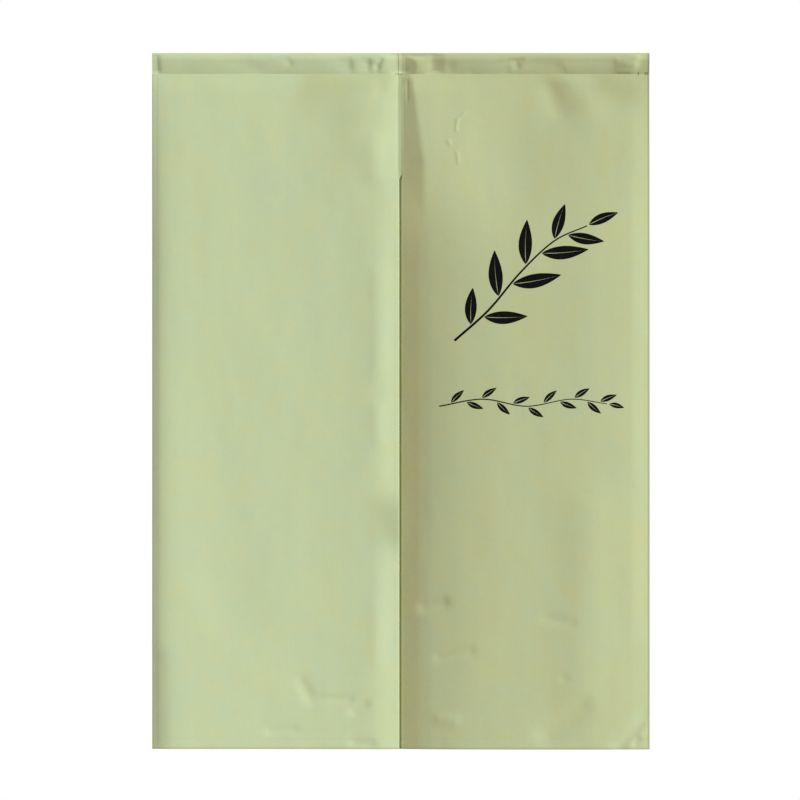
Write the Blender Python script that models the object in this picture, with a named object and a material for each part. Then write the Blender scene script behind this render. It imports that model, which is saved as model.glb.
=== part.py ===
"""Noren curtain: two hemmed cloth panels hanging from one rod-pocket heading.

Metres, +Z up. The origin is the middle of the top edge, the front faces -Y,
+X is to the right as seen from the front, and the hem is at z = -HEIGHT.
"""
from bisect import bisect_right
from collections import namedtuple
import math

import bmesh
import bpy

# Driving dimensions of the curtain
WIDTH = 0.850
HEIGHT = 1.190
HEADING_HEIGHT = 0.036
SEAM_LENGTH = 0.216
SEWN_GAP = 0.0003

# The cloth, and how far its hems are folded to the back
CLOTH_THICKNESS = 0.0012
HEM_THICKNESS = 0.0020
HEM_STEP = 0.0012
SIDE_HEM = 0.010
BOTTOM_HEM = 0.018

# The slit: below the seam the right panel's edge steps back, and further down
# it slips behind the left panel's edge
SLIT_STEP = 0.0026
SLIT_STEP_WIDTH = 0.020
SLIT_STEP_LENGTH = 0.050
SLIT_TUCK = 0.002
SLIT_TUCK_LENGTH = 0.050

# How far down the panels take their top, upper and lower shapes, and how far
# below the heading their folds take their full depth
TOP_LEVEL = 0.070
UPPER_LEVEL = 0.190
LOWER_LEVEL = 0.380
FOLD_RELEASE = 0.016

# The sewn foot of the rod pocket, where its layers lie together
FOOT_THICKNESS = 0.0032
FOOT_HEIGHT = 0.0030
FOOT_SLACK = 0.0004

# Mesh density
PANEL_COLUMNS = 24
PANEL_ROWS = 40
HEADING_STATIONS = 36
MERGE_DISTANCE = 0.00001

SHARP_ANGLE = math.radians(40)
CLOTH_COLOUR = (0.52, 0.59, 0.35, 1.0)
CLOTH_ROUGHNESS = 0.92

# A row for each place across a panel: its x, and how far the front stands
# forward of the middle plane at the three levels; a minus stands behind it
Stand = namedtuple("Stand", "x top upper lower")
LEFT_STANDS = (
    Stand(x=-0.425, top=0.0016, upper=0.0006, lower=-0.0020),
    Stand(x=-0.410, top=0.0024, upper=0.0022, lower=0.0003),
    Stand(x=-0.390, top=0.0028, upper=0.0030, lower=0.0014),
    Stand(x=-0.340, top=0.0030, upper=0.0032, lower=0.0014),
    Stand(x=-0.250, top=0.0032, upper=0.0034, lower=0.0018),
    Stand(x=-0.175, top=0.0036, upper=0.0040, lower=0.0028),
    Stand(x=-0.105, top=0.0042, upper=0.0060, lower=0.0046),
    Stand(x=-0.046, top=0.0048, upper=0.0072, lower=0.0070),
    Stand(x=-0.030, top=0.0048, upper=0.0070, lower=0.0069),
    Stand(x=-0.015, top=0.0044, upper=0.0056, lower=0.0055),
    Stand(x=0.000, top=0.0038, upper=0.0042, lower=0.0038),
)
RIGHT_STANDS = (
    Stand(x=0.000, top=0.0038, upper=0.0042, lower=0.0034),
    Stand(x=0.020, top=0.0042, upper=0.0048, lower=0.0046),
    Stand(x=0.034, top=0.0044, upper=0.0054, lower=0.0069),
    Stand(x=0.057, top=0.0046, upper=0.0064, lower=0.0104),
    Stand(x=0.100, top=0.0044, upper=0.0076, lower=0.0146),
    Stand(x=0.153, top=0.0036, upper=0.0076, lower=0.0168),
    Stand(x=0.200, top=0.0028, upper=0.0074, lower=0.0174),
    Stand(x=0.250, top=0.0026, upper=0.0082, lower=0.0179),
    Stand(x=0.315, top=0.0028, upper=0.0100, lower=0.0185),
    Stand(x=0.342, top=0.0030, upper=0.0102, lower=0.0181),
    Stand(x=0.392, top=0.0030, upper=0.0096, lower=0.0158),
    Stand(x=0.410, top=0.0026, upper=0.0084, lower=0.0142),
    Stand(x=0.425, top=0.0020, upper=0.0070, lower=0.0124),
)

# A row for each soft fold: its line from one end to the other, its half
# width, and how far it stands forward; a trough stands back
Fold = namedtuple("Fold", "x_start z_start x_end z_end half_width forward")
SEAM_VALLEY = Fold(x_start=0.0, z_start=-0.036, x_end=0.0, z_end=-0.300,
                   half_width=0.016, forward=-0.0040)
LEFT_FOLDS = (
    SEAM_VALLEY,
    Fold(x_start=-0.096, z_start=-0.070, x_end=-0.092, z_end=-0.170,
         half_width=0.036, forward=0.0020),
    Fold(x_start=0.004, z_start=-0.770, x_end=0.004, z_end=-0.815,
         half_width=0.022, forward=0.0040),
    Fold(x_start=-0.330, z_start=-0.560, x_end=-0.290, z_end=-0.960,
         half_width=0.055, forward=-0.0010),
)
RIGHT_FOLDS = (
    SEAM_VALLEY,
    Fold(x_start=0.112, z_start=-0.085, x_end=0.108, z_end=-0.180,
         half_width=0.034, forward=0.0026),
    Fold(x_start=0.290, z_start=-0.050, x_end=0.325, z_end=-0.130,
         half_width=0.022, forward=0.0022),
    Fold(x_start=0.318, z_start=-0.780, x_end=0.308, z_end=-1.100,
         half_width=0.040, forward=0.0016),
    Fold(x_start=0.252, z_start=-1.163, x_end=0.308, z_end=-1.120,
         half_width=0.020, forward=-0.0018),
    Fold(x_start=0.380, z_start=-1.186, x_end=0.420, z_end=-1.140,
         half_width=0.018, forward=-0.0020),
)

# A row for each place along the rod pocket: how deep it bulges to each side
Bulge = namedtuple("Bulge", "x front back")
HEADING_BULGES = (
    Bulge(x=-0.425, front=0.0060, back=0.0072),
    Bulge(x=-0.330, front=0.0064, back=0.0078),
    Bulge(x=-0.215, front=0.0060, back=0.0080),
    Bulge(x=-0.150, front=0.0068, back=0.0078),
    Bulge(x=-0.085, front=0.0060, back=0.0074),
    Bulge(x=-0.040, front=0.0064, back=0.0076),
    Bulge(x=0.000, front=0.0058, back=0.0074),
    Bulge(x=0.045, front=0.0070, back=0.0076),
    Bulge(x=0.130, front=0.0076, back=0.0080),
    Bulge(x=0.215, front=0.0070, back=0.0078),
    Bulge(x=0.290, front=0.0076, back=0.0076),
    Bulge(x=0.370, front=0.0070, back=0.0078),
    Bulge(x=0.425, front=0.0074, back=0.0072),
)

# A row for each point down the sides of the pocket's section: its share of
# the height from the top, and its share of the bulge to the front and back
Side = namedtuple("Side", "down front back")
POCKET_SIDES = (
    Side(down=0.03, front=0.42, back=0.38),
    Side(down=0.10, front=0.78, back=0.66),
    Side(down=0.20, front=0.96, back=0.84),
    Side(down=0.31, front=1.00, back=0.95),
    Side(down=0.48, front=0.84, back=1.00),
    Side(down=0.66, front=0.66, back=0.87),
    Side(down=0.83, front=0.46, back=0.60),
)


def smooth(share):
    """Ease from 0 to 1 with level ends."""
    share = min(max(share, 0.0), 1.0)
    return share * share * (3.0 - 2.0 * share)


def curve_through(places, values, x):
    """Read a smooth curve through the values at the rising places."""
    last = len(places) - 1
    left = min(max(bisect_right(places, x) - 1, 0), last - 1)

    def slope(i):
        before, after = max(i - 1, 0), min(i + 1, last)
        return (values[after] - values[before]) / (places[after] - places[before])

    span = places[left + 1] - places[left]
    t = min(max((x - places[left]) / span, 0.0), 1.0)
    rise = values[left + 1] - values[left]
    start, end = slope(left) * span, slope(left + 1) * span
    bend = (start + end - 2.0 * rise) * t + (3.0 * rise - 2.0 * start - end)
    return values[left] + t * (start + t * bend)


def fold_forward(fold, x, z):
    """How far one soft fold moves the front at a point."""
    run_x, run_z = fold.x_end - fold.x_start, fold.z_end - fold.z_start
    along = (x - fold.x_start) * run_x + (z - fold.z_start) * run_z
    along = min(max(along / (run_x * run_x + run_z * run_z), 0.0), 1.0)
    near_x, near_z = fold.x_start + along * run_x, fold.z_start + along * run_z
    away = math.hypot(x - near_x, z - near_z) / fold.half_width
    return fold.forward * math.exp(-away * away)


def panel_forward(stands, folds, x, z):
    """How far a panel's front stands forward of the heading's middle plane."""
    places = [stand.x for stand in stands]
    top = curve_through(places, [stand.top for stand in stands], x)
    upper = curve_through(places, [stand.upper for stand in stands], x)
    lower = curve_through(places, [stand.lower for stand in stands], x)
    levels = (HEADING_HEIGHT, TOP_LEVEL, UPPER_LEVEL, LOWER_LEVEL, HEIGHT)
    forward = curve_through(levels, (FOOT_THICKNESS / 2, top, upper, lower, lower), -z)
    folded = sum(fold_forward(fold, x, z) for fold in folds)
    return forward + folded * smooth((-z - HEADING_HEIGHT) / FOLD_RELEASE)


def hem_marks(start, end, start_hem, end_hem, steps):
    """Grid lines from start to end, with a pair of lines at each hem's step."""
    marks = [start]
    if start_hem:
        marks += [start + start_hem, start + start_hem + HEM_STEP]
    far = [end]
    if end_hem:
        far = [end - end_hem - HEM_STEP, end - end_hem, end]
    near = marks[-1]
    marks += [near + (far[0] - near) * i / steps for i in range(1, steps)]
    return marks + far


def slit_step(x, z):
    """How far the right panel steps back beside the slit."""
    stepped = smooth((-z - SEAM_LENGTH) / SLIT_STEP_LENGTH)
    near_edge = max(0.0, 1.0 - x / SLIT_STEP_WIDTH)
    return SLIT_STEP * stepped * near_edge * near_edge


def slit_tuck(x, z):
    """How far the right panel slips to the left, behind the left panel."""
    below_step = -z - SEAM_LENGTH - SLIT_STEP_LENGTH
    near_edge = max(0.0, 1.0 - x / SLIT_STEP_WIDTH)
    return SLIT_TUCK * smooth(below_step / SLIT_TUCK_LENGTH) * near_edge


def cloth_thickness(x, z, left_edge, right_edge):
    """One layer of cloth, or the folded hem along the sides and the bottom."""
    from_side = min(x - left_edge, right_edge - x)
    from_bottom = z + HEIGHT
    beyond = HEM_STEP / 2
    hemmed = from_side < SIDE_HEM + beyond or from_bottom < BOTTOM_HEM + beyond
    return HEM_THICKNESS if hemmed else CLOTH_THICKNESS


def add_cloth_material(item):
    """Give an object a cloth material of its own."""
    material = bpy.data.materials.new(item.name + "_cloth")
    material.use_nodes = True
    shader = material.node_tree.nodes["Principled BSDF"]
    shader.inputs["Base Color"].default_value = CLOTH_COLOUR
    shader.inputs["Roughness"].default_value = CLOTH_ROUGHNESS
    shader.inputs["Metallic"].default_value = 0.0
    item.data.materials.append(material)


def add_object(name, shape):
    """Turn a bmesh into a smooth-shaded object."""
    bmesh.ops.recalc_face_normals(shape, faces=shape.faces[:])
    mesh = bpy.data.meshes.new(name)
    shape.to_mesh(mesh)
    shape.free()
    mesh.shade_smooth()
    mesh.set_sharp_from_angle(angle=SHARP_ANGLE)
    item = bpy.data.objects.new(name, mesh)
    bpy.context.scene.collection.objects.link(item)
    add_cloth_material(item)


def make_panel(name, left_edge, right_edge, stands, folds, behind_slit):
    """One cloth panel: a grid laid on the folds, extruded back to its thickness."""
    top = -HEADING_HEIGHT - SEWN_GAP
    columns = hem_marks(left_edge, right_edge, SIDE_HEM, SIDE_HEM, PANEL_COLUMNS)
    rows = hem_marks(-HEIGHT, top, BOTTOM_HEM, 0.0, PANEL_ROWS)
    across, up = len(columns) - 1, len(rows) - 1

    shape = bmesh.new()
    bmesh.ops.create_grid(shape, x_segments=across, y_segments=up, size=0.5)
    for vert in shape.verts:
        x = columns[round((vert.co.x + 0.5) * across)]
        z = rows[round((vert.co.y + 0.5) * up)]
        vert.co = (x, -panel_forward(stands, folds, x, z), z)
    extruded = bmesh.ops.extrude_face_region(shape, geom=shape.faces[:])["geom"]
    for vert in [part for part in extruded if isinstance(part, bmesh.types.BMVert)]:
        vert.co.y += cloth_thickness(vert.co.x, vert.co.z, left_edge, right_edge)
    if behind_slit:
        for vert in shape.verts:
            x, z = vert.co.x, vert.co.z
            vert.co.y += slit_step(x, z)
            vert.co.x -= slit_tuck(x, z)
    add_object(name, shape)


def pocket_ring(x, inner):
    """The points round the pocket's section at x, on its outer or inner face."""
    places = [bulge.x for bulge in HEADING_BULGES]
    front = curve_through(places, [bulge.front for bulge in HEADING_BULGES], x)
    back = curve_through(places, [bulge.back for bulge in HEADING_BULGES], x)
    wall = CLOTH_THICKNESS if inner else 0.0
    bottom = HEADING_HEIGHT - (FOOT_HEIGHT if inner else 0.0)
    foot = FOOT_SLACK if inner else FOOT_THICKNESS / 2
    sides = [(side, -wall - side.down * (bottom - wall)) for side in POCKET_SIDES]
    points = [(x, 0.0, -wall)]
    points += [(x, -side.front * (front - wall), z) for side, z in sides]
    points.append((x, -foot, -bottom))
    points.append((x, foot, -bottom))
    points += [(x, side.back * (back - wall), z) for side, z in reversed(sides)]
    return points


def make_heading():
    """The rod pocket: a grid rolled round X, extruded inward to the cloth's thickness."""
    around = len(pocket_ring(0.0, inner=False))
    shape = bmesh.new()
    place = shape.verts.layers.int.new("place in ring")
    bmesh.ops.create_grid(shape, x_segments=HEADING_STATIONS, y_segments=around, size=0.5)
    for vert in shape.verts:
        vert[place] = round((vert.co.y + 0.5) * around) % around
        vert.co = pocket_ring(WIDTH * vert.co.x, inner=False)[vert[place]]
    bmesh.ops.remove_doubles(shape, verts=shape.verts[:], dist=MERGE_DISTANCE)
    extruded = bmesh.ops.extrude_face_region(shape, geom=shape.faces[:])["geom"]
    for vert in [part for part in extruded if isinstance(part, bmesh.types.BMVert)]:
        vert.co = pocket_ring(vert.co.x, inner=True)[vert[place]]
    add_object("heading", shape)


def main():
    for item in list(bpy.data.objects):
        bpy.data.objects.remove(item, do_unlink=True)
    half = WIDTH / 2
    make_heading()
    make_panel("left_panel", -half, -SEWN_GAP / 2, LEFT_STANDS, LEFT_FOLDS, behind_slit=False)
    make_panel("right_panel", SEWN_GAP / 2, half, RIGHT_STANDS, RIGHT_FOLDS, behind_slit=True)


main()
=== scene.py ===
from collections import namedtuple
import math
import bmesh
import bpy
from mathutils import Matrix, Vector, noise
import numpy as np


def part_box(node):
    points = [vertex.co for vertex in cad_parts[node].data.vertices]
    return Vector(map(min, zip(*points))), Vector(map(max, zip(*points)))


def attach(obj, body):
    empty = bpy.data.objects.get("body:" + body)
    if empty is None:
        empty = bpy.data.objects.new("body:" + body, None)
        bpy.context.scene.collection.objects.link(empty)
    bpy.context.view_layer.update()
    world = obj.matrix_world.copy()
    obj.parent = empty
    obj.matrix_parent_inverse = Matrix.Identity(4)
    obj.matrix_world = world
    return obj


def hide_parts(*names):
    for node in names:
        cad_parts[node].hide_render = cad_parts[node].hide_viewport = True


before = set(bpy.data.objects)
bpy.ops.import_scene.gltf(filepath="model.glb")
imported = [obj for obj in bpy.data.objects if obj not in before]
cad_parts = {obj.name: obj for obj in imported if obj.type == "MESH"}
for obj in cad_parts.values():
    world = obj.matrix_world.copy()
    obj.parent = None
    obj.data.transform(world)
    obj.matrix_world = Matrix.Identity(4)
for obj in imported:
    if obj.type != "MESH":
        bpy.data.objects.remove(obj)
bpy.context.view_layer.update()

# Noren curtain: its cloth, sewing and print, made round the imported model.
# Metres, +Z up. The front faces -Y, the top edge is at z = 0 and the cloth hangs
# down from it. "Forward" is how far a point lies in front of the heading's
# middle plane.

# Sizes read from the frame
HALF_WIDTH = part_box("heading")[1].x
HEADING_HEIGHT = -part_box("heading")[0].z
HEIGHT = -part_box("left_panel")[0].z

# The cloth, its hems folded to the back, and the lines of their stitches
CLOTH = 0.0006
HEM = 0.0018
HEM_STEP = 0.0006
EDGE_ROUND = 0.0005
SIDE_HEM = 0.010
SIDE_STITCH = 0.0085
BOTTOM_HEM = 0.018
BOTTOM_STITCH = 0.0165
GROOVE_HALF_WIDTH = 0.0009
GROOVE_DEPTH = 0.00006
SHARP_EDGE = math.radians(40)

# The centre seam: the left cloth laps over the right one down to the slit,
# and draws back from it below
SEAM_LENGTH = 0.216
LAP_EDGE = 0.0024
SLIT_EDGE = -0.0028
LAP_RISE = 0.0012
LAP_ROUND_SHARE = 0.35
LAP_END = 0.010
LAP_FADE = 0.020
SEAM_STITCHES = (-0.0039, -0.0110)

# The right cloth's edge turns back and slips behind the left one
SEWN_TURN_START = 0.0014
SLIT_TURN_START = -0.0002
TURN_WIDTH = 0.0012
SEWN_TURN = 0.0020
SLIT_TURN = 0.0016
SLIP = 0.005
SLIP_FADE = 0.020

# The thickness of the pocket's foot, how far down the panels take their top,
# upper and lower shapes, and over what length below the pocket their folds start
FOOT_THICKNESS = 0.0032
TOP_LEVEL = 0.070
UPPER_LEVEL = 0.190
LOWER_LEVEL = 0.380
FOLD_RELEASE = 0.016

# Mesh pitch across and down the panels: in the open cloth, in the patch of
# fine creases, in the outer hems, in the hems beside the slit, and at a row of
# stitches, up to this far past it
CELL = 0.0044
FINE_CELL = 0.0020
FINE_X = (0.076, 0.114)
FINE_Z = (-0.194, -0.098)
OUTER_PITCH = 0.0016
INNER_PITCH = 0.0005
GROOVE_PITCH = 0.00045
GROOVE_REACH = 0.0011

# Where the mesh needs lines in the round of a folded edge, and how far past a
# hem it takes to ease from the hem's pitch to the open cloth's
ROUND_MARKS = (0.0, 0.00012, 0.0003, EDGE_ROUND)
EASE_NEAR = 0.006
EASE_FAR = 0.015
EASE_PITCH = 0.0021
EASE_GROWTH = 2.4

# Mesh pitch along the heading: in the open, from here up to the tuck, and on it
STATION = 0.0030
SEAM_MESH_START = -0.009
SEAM_PITCH = 0.0005
TUCK_PITCH = 0.0010

# A row for each place across a panel: its x, and how far the front stands
# forward at the three levels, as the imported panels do
Stand = namedtuple("Stand", "x top upper lower")
LEFT_STANDS = (
    Stand(x=-0.425, top=0.0014, upper=0.0003, lower=-0.0024),
    Stand(x=-0.410, top=0.0024, upper=0.0022, lower=0.0003),
    Stand(x=-0.390, top=0.0028, upper=0.0030, lower=0.0014),
    Stand(x=-0.340, top=0.0030, upper=0.0032, lower=0.0014),
    Stand(x=-0.250, top=0.0032, upper=0.0034, lower=0.0018),
    Stand(x=-0.175, top=0.0033, upper=0.0040, lower=0.0028),
    Stand(x=-0.105, top=0.0037, upper=0.0060, lower=0.0046),
    Stand(x=-0.046, top=0.0039, upper=0.0072, lower=0.0070),
    Stand(x=-0.030, top=0.0039, upper=0.0073, lower=0.0069),
    Stand(x=-0.015, top=0.0036, upper=0.0068, lower=0.00615),
    Stand(x=0.000, top=0.0029, upper=0.0057, lower=0.0053),
)
RIGHT_STANDS = (
    Stand(x=0.000, top=0.0066, upper=0.0108, lower=0.0002),
    Stand(x=0.020, top=0.0066, upper=0.0108, lower=0.0044),
    Stand(x=0.034, top=0.0065, upper=0.0107, lower=0.0072),
    Stand(x=0.057, top=0.0062, upper=0.0108, lower=0.0106),
    Stand(x=0.100, top=0.0050, upper=0.0098, lower=0.0146),
    Stand(x=0.153, top=0.0036, upper=0.0070, lower=0.0168),
    Stand(x=0.200, top=0.0028, upper=0.0062, lower=0.0174),
    Stand(x=0.250, top=0.0026, upper=0.0078, lower=0.0179),
    Stand(x=0.315, top=0.0028, upper=0.0100, lower=0.0185),
    Stand(x=0.342, top=0.0030, upper=0.0102, lower=0.0181),
    Stand(x=0.392, top=0.0030, upper=0.0097, lower=0.0160),
    Stand(x=0.410, top=0.0025, upper=0.0083, lower=0.0140),
    Stand(x=0.425, top=0.0018, upper=0.0066, lower=0.0118),
)

# A row for each soft fold: the x and z of its two ends, its half width, and
# how far its crest stands forward; a trough stands back
Fold = namedtuple("Fold", "x_start z_start x_end z_end half_width forward")
LEFT_FOLDS = (
    Fold(-0.062, -0.095, -0.064, -0.150, 0.045, 0.0020),
    Fold(0.012, -0.782, 0.012, -0.808, 0.038, 0.0054),
    Fold(-0.330, -0.560, -0.290, -0.960, 0.055, -0.0010),
)
RIGHT_FOLDS = (
    Fold(0.296, -0.050, 0.325, -0.110, 0.030, 0.0014),
    Fold(0.318, -0.780, 0.308, -1.100, 0.040, 0.0016),
    Fold(0.252, -1.163, 0.308, -1.120, 0.020, -0.0018),
    Fold(0.380, -1.186, 0.420, -1.140, 0.018, -0.0020),
    Fold(0.425, -1.020, 0.425, -1.190, 0.022, 0.0010),
)

# The slanting crease beside the seam: from the seam to it the right cloth
# rises evenly, and it runs from one x at the pocket to another at its foot
CREASE_TOP_X = 0.0190
CREASE_FOOT_X = 0.0400
CREASE_FOOT = 0.190
CREASE_SLOPE = 0.190
CREASE_FADE_START = 0.180
CREASE_FADE = 0.140

# The finer creases, which only the cloth itself has
LEFT_CREASES = (
    Fold(-0.425, -1.040, -0.425, -1.175, 0.024, -0.0018),
    Fold(-0.034, -0.036, -0.036, -0.062, 0.010, -0.0006),
    Fold(-0.046, -0.150, -0.046, -0.205, 0.018, 0.0010),
    Fold(-0.038, -0.380, -0.038, -0.540, 0.016, 0.0006),
    Fold(-0.040, -0.610, -0.040, -0.660, 0.012, 0.0005),
    Fold(-0.042, -0.945, -0.042, -1.040, 0.014, 0.0005),
    Fold(-0.170, -1.076, -0.152, -1.106, 0.010, -0.0010),
    Fold(-0.139, -1.104, -0.087, -1.105, 0.006, -0.0008),
    Fold(-0.080, -1.125, -0.062, -1.115, 0.009, -0.0012),
    Fold(-0.222, -1.160, -0.186, -1.155, 0.009, -0.0009),
    Fold(-0.079, -1.180, -0.052, -1.182, 0.009, -0.0010),
)
RIGHT_CREASES = (
    Fold(0.0110, -0.043, 0.0115, -0.083, 0.0024, -0.0004),
    Fold(0.1095, -0.103, 0.0970, -0.114, 0.0026, 0.0005),
    Fold(0.0960, -0.116, 0.0950, -0.132, 0.0024, 0.0005),
    Fold(0.0815, -0.151, 0.0840, -0.155, 0.0034, 0.0005),
    Fold(0.0965, -0.171, 0.0985, -0.187, 0.0026, 0.0005),
    Fold(0.256, -0.060, 0.268, -0.095, 0.0160, -0.0010),
    Fold(0.040, -0.948, 0.072, -0.940, 0.010, -0.0016),
    Fold(0.066, -1.034, 0.118, -1.022, 0.008, -0.0010),
    Fold(0.066, -1.138, 0.090, -1.140, 0.010, 0.0010),
    Fold(0.247, -0.967, 0.291, -0.975, 0.008, -0.0007),
    Fold(0.387, -1.190, 0.423, -1.146, 0.008, 0.0012),
    Fold(0.400, -1.178, 0.404, -1.173, 0.006, -0.0012),
    Fold(0.278, -1.068, 0.279, -1.069, 0.007, -0.0006),
)

# A row for each place along the rod pocket: how deep it bulges to each side
Bulge = namedtuple("Bulge", "x front back")
HEADING_BULGES = (
    Bulge(x=-0.425, front=0.0060, back=0.0072),
    Bulge(x=-0.330, front=0.0064, back=0.0078),
    Bulge(x=-0.215, front=0.0060, back=0.0080),
    Bulge(x=-0.150, front=0.0068, back=0.0078),
    Bulge(x=-0.085, front=0.0060, back=0.0074),
    Bulge(x=-0.040, front=0.0064, back=0.0076),
    Bulge(x=0.000, front=0.0058, back=0.0074),
    Bulge(x=0.045, front=0.0070, back=0.0076),
    Bulge(x=0.130, front=0.0076, back=0.0080),
    Bulge(x=0.215, front=0.0070, back=0.0078),
    Bulge(x=0.290, front=0.0076, back=0.0076),
    Bulge(x=0.370, front=0.0070, back=0.0078),
    Bulge(x=0.425, front=0.0074, back=0.0072),
)

# A row for each point down the sides of the pocket's section: its share of
# the height from the top, and its share of the bulge to the front and back
Side = namedtuple("Side", "down front back")
POCKET_SIDES = (
    Side(down=0.00, front=0.00, back=0.00),
    Side(down=0.015, front=0.66, back=0.30),
    Side(down=0.045, front=0.84, back=0.48),
    Side(down=0.10, front=0.92, back=0.66),
    Side(down=0.20, front=0.975, back=0.84),
    Side(down=0.31, front=1.00, back=0.95),
    Side(down=0.48, front=0.84, back=1.00),
    Side(down=0.66, front=0.66, back=0.87),
    Side(down=0.83, front=0.46, back=0.60),
)
SIDE_POINTS = 16
BACK_FOOT = 0.0005

# The pocket's rumples fade out at its top, over this share of its height, and
# over this height above the sewn line
TOP_CALM = 0.12
SEWN_CALM = 0.003

# How the pocket's front lies beside the seam: x, and how far it is moved; and
# the step where the left cloth laps over the right one
SEAM_X = (-0.050, -0.027, -0.008, 0.001, 0.008, 0.024, 0.045, 0.055, 0.075)
SEAM_MOVES = (0.0, 0.0, -0.0014, -0.0016, -0.0014, -0.0013, -0.0014, -0.0018, 0.0)
LAP_STEP = 0.0004
LAP_STEP_WIDTH = 0.0012

# The tuck beside the seam: from a straight line it rises to a round brow on
# the right, and falls away softly beyond
TUCK_X = 0.0080
TUCK_Z = -0.0231
TUCK_LENGTH = 0.0200
TUCK_HALF_HEIGHT = 0.0165
TUCK_SLOPE = 0.128
TUCK_FALL = 0.032

# The edge turned under at the back of the pocket: y and z of its points
TURNED_UNDER = (
    (0.0002, -0.0371),
    (-0.0004, -0.0373),
    (-0.0009, -0.0368),
    (-0.0010, -0.0350),
    (-0.0010, -0.0320),
    (-0.0010, -0.0295),
)

# The rows of its points where the pocket's stitches lie, front and back
FRONT_STITCH_ROW = 1
BACK_STITCH_ROW = -len(TURNED_UNDER) - 2

# The sewn line between the pocket and the panels sways back at the seam
SWAY_X = 0.002
SWAY_WIDTH = 0.011
SWAY = -0.0012
SWAY_START = 0.40

# The rumples of the pocket's front: soft hollows and, near its right end, a
# slanting ridge, each drawn out to its left
RUMPLE_STRETCH = 3.0
HEADING_RUMPLES = (
    Fold(-0.4180, -0.010, -0.4160, -0.034, 0.0060, -0.0014),
    Fold(-0.2640, -0.018, -0.2460, -0.026, 0.0110, -0.0005),
    Fold(-0.1940, -0.012, -0.1890, -0.018, 0.0045, -0.0008),
    Fold(-0.0890, -0.016, -0.0880, -0.026, 0.0065, -0.0012),
    Fold(-0.0560, -0.014, -0.0550, -0.027, 0.0045, -0.0013),
    Fold(-0.0530, -0.0195, -0.0420, -0.0195, 0.0022, -0.0006),
    Fold(-0.0330, -0.0125, -0.0385, -0.0225, 0.0030, -0.0012),
    Fold(-0.0385, -0.0225, -0.0385, -0.0300, 0.0030, -0.0008),
    Fold(0.0600, -0.022, 0.0820, -0.022, 0.0110, -0.0010),
    Fold(0.1210, -0.031, 0.1230, -0.034, 0.0030, -0.0004),
    Fold(0.1810, -0.018, 0.1810, -0.030, 0.0060, -0.0008),
    Fold(0.1950, -0.014, 0.2060, -0.012, 0.0040, -0.0013),
    Fold(0.1980, -0.016, 0.2000, -0.024, 0.0045, -0.0011),
    Fold(0.2320, -0.014, 0.3620, -0.014, 0.0050, -0.0005),
    Fold(0.2320, -0.020, 0.2620, -0.024, 0.0110, -0.0008),
    Fold(0.2740, -0.022, 0.2780, -0.032, 0.0040, -0.0004),
    Fold(0.3620, -0.018, 0.3640, -0.030, 0.0060, -0.0005),
    Fold(0.4022, -0.0086, 0.3985, -0.0180, 0.0085, 0.0017),
    Fold(0.3970, -0.0220, 0.3930, -0.0330, 0.0075, 0.0012),
    Fold(0.3800, -0.0190, 0.3790, -0.0270, 0.0130, 0.0009),
)

# The small unevenness of the whole cloth: a row for each grain of it, the
# length of its waves across and down, and their height; then how far apart the
# noise of two grains lies, and where it starts on the pocket's two faces
Grain = namedtuple("Grain", "across down height")
GRAINS = (
    Grain(across=0.060, down=0.110, height=0.00034),
    Grain(across=0.024, down=0.038, height=0.00012),
)
GRAIN_STEP = 7.0
FRONT_SEED = 3.0
BACK_SEED = 5.0

# Sewing: each stitch's pitch, length and thickness, and how round it is
STITCH_PITCH = 0.0032
STITCH_LENGTH = 0.0026
STITCH_WIDTH = 0.00040
STITCH_HEIGHT = 0.00026
STITCH_SIDES = 6
STITCH_RINGS = 4

# The hems' stitches keep this far from the pocket and the side edges, and the
# pocket's from its ends; the seam's run on this far past the top of the slit
HEM_STITCH_INSET = 0.002
POCKET_STITCH_INSET = 0.001
SEAM_OVERRUN = 0.004

# A row for each bar tack at the foot of the pocket, and the distance between
# two of its stitches
Tack = namedtuple("Tack", "left right top bottom")
TACKS = (
    Tack(left=-0.0105, right=0.0045, top=-0.0343, bottom=-0.0370),
    Tack(left=0.4046, right=0.4082, top=-0.0325, bottom=-0.0378),
    Tack(left=0.4168, right=0.4232, top=-0.0325, bottom=-0.0378),
)
TACK_PITCH = 0.00045

# The print stands this far proud of the cloth, and its film is this thick
PRINT_PROUD = 0.00013
PRINT_FILM = 0.00010

# Colours, in linear light
LEFT_DYE = (0.580, 0.636, 0.370)
# Painted shade: the right cloth's colour is the left's made darker and yellower for the dimmer light
# on the right half
RIGHT_DYE_AND_SHADE = (0.516, 0.537, 0.294)
YELLOWER = (1.022, 0.994, 0.944)
GREENER = (0.968, 0.998, 1.034)
LEFT_THREAD = (0.540, 0.600, 0.360)
# The right thread is darker with the right cloth's painted shade
RIGHT_THREAD = (0.490, 0.520, 0.290)
TACK_THREAD = (0.230, 0.250, 0.130)
PRINT_COLOUR = (0.004, 0.004, 0.004)
FLOOR_COLOUR = (0.46, 0.45, 0.42)

# What each colour is multiplied by for its second tone
SLUB_SHARE = (0.93, 0.93, 0.92)
THREAD_SHARE = 0.88
PRINT_SHARE = 2.2
FLOOR_SHARE = 0.97

# The weave: the distance between two threads, how high they and the slubs
# stand, how much the crossings add, and how rough the cloth is
THREAD_PITCH = 0.00055
WEAVE_HEIGHT = 0.00005
SLUB_HEIGHT = 0.00006
CROSSING_SHARE = 0.7
CLOTH_ROUGHNESS = (0.86, 0.97)
TWIST_HEIGHT = 0.00008

# Cloudy noise seldom leaves this range
NOISE_RANGE = (0.25, 0.75)

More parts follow.
